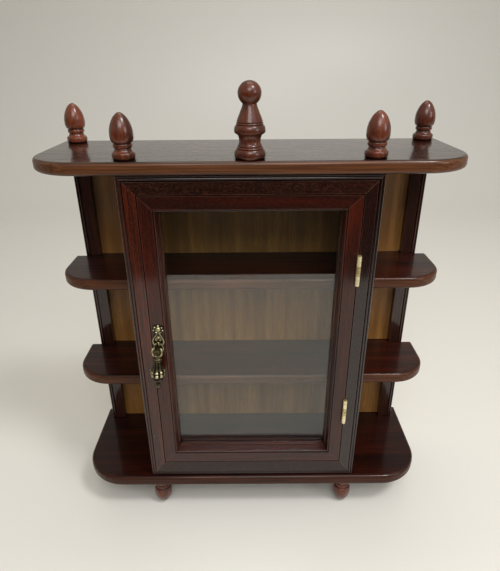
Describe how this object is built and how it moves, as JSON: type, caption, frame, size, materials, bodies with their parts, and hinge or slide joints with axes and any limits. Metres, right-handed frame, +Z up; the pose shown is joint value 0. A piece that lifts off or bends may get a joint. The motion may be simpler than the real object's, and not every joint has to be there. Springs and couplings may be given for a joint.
{
  "type": "display case",
  "caption": "Small glazed cabinet with a hinged glass door between open rounded side shelves, turned finials on top and turned feet below.",
  "frame": {"origin": "centre of the outline seen from above, on the surface that the feet stand on", "axes": "+Z up, +X to the right seen from the front, -Y out of the front with the door"},
  "size_m": [0.342, 0.1167, 0.404],
  "materials": {
    "case_mahogany": "mahogany stain under gloss lacquer",
    "shelf_mahogany": "mahogany stain under gloss lacquer, lighter on rounded edges",
    "door_mahogany": "redder mahogany stain under gloss lacquer",
    "turned_mahogany": "turned hardwood, reddish stain, gloss lacquer",
    "back_plywood": "golden brown stained plywood, satin",
    "raw_dowel": "unfinished beech dowel",
    "clear_glass": "clear float glass",
    "hinge_brass": "bright rolled brass",
    "aged_brass": "cast brass with dark aged recesses",
    "zinc_steel": "zinc plated steel",
    "magnet_steel": "nickel plated magnet"
  },
  "bodies": {
    "cabinet": {"bottom_board": "case_mahogany", "top_board": "case_mahogany", "left_post": "case_mahogany", "right_post": "case_mahogany", "back_panel": "back_plywood", "left_side_panel": "case_mahogany", "right_side_panel": "case_mahogany", "left_lower_shelf": "shelf_mahogany", "left_upper_shelf": "shelf_mahogany", "right_lower_shelf": "shelf_mahogany", "right_upper_shelf": "shelf_mahogany", "inner_lower_shelf": "shelf_mahogany", "inner_upper_shelf": "shelf_mahogany", "frame_left_stile": "case_mahogany", "frame_right_stile": "case_mahogany", "frame_top_rail": "case_mahogany", "frame_bottom_rail": "case_mahogany", "upper_hinge_frame_leaf": "hinge_brass", "upper_hinge_pin": "hinge_brass", "lower_hinge_frame_leaf": "hinge_brass", "lower_hinge_pin": "hinge_brass", "hinge_frame_screws": "hinge_brass", "catch_body": "shelf_mahogany", "catch_magnet": "magnet_steel", "catch_screws": "hinge_brass", "centre_finial": "turned_mahogany", "front_left_finial": "turned_mahogany", "front_right_finial": "turned_mahogany", "rear_left_finial": "turned_mahogany", "rear_right_finial": "turned_mahogany", "front_left_foot": "turned_mahogany", "front_right_foot": "turned_mahogany", "rear_left_foot": "turned_mahogany", "rear_right_foot": "turned_mahogany", "base_screws": "zinc_steel", "top_dowels": "raw_dowel", "shelf_dowels": "raw_dowel", "panel_pins": "zinc_steel", "wall_hangers": "hinge_brass", "hanger_screws": "hinge_brass"},
    "door": {"door_left_stile": "door_mahogany", "door_right_stile": "door_mahogany", "door_top_rail": "door_mahogany", "door_bottom_rail": "door_mahogany", "glass_pane": "clear_glass", "glass_bead_left": "door_mahogany", "glass_bead_right": "door_mahogany", "glass_bead_top": "door_mahogany", "glass_bead_bottom": "door_mahogany", "upper_hinge_door_leaf": "hinge_brass", "lower_hinge_door_leaf": "hinge_brass", "hinge_door_screws": "hinge_brass", "handle_plate": "aged_brass", "handle_post": "aged_brass", "handle_pin": "aged_brass", "handle_nut": "aged_brass", "handle_tacks": "aged_brass", "strike_plate": "zinc_steel"},
    "handle_drop": {"handle_drop": "aged_brass"}
  },
  "joints": [
    {"name": "door_hinge", "type": "hinge", "parent": "cabinet", "child": "door", "pos_m": [0.0851, -0.04415, 0.193], "axis": [0, 0, 1], "range_deg": [0, 170]},
    {"name": "handle_swing", "type": "hinge", "parent": "door", "child": "handle_drop", "pos_m": [-0.0797, -0.05075, 0.1935], "axis": [-1, 0, 0], "range_deg": [0, 80]}
  ]
}
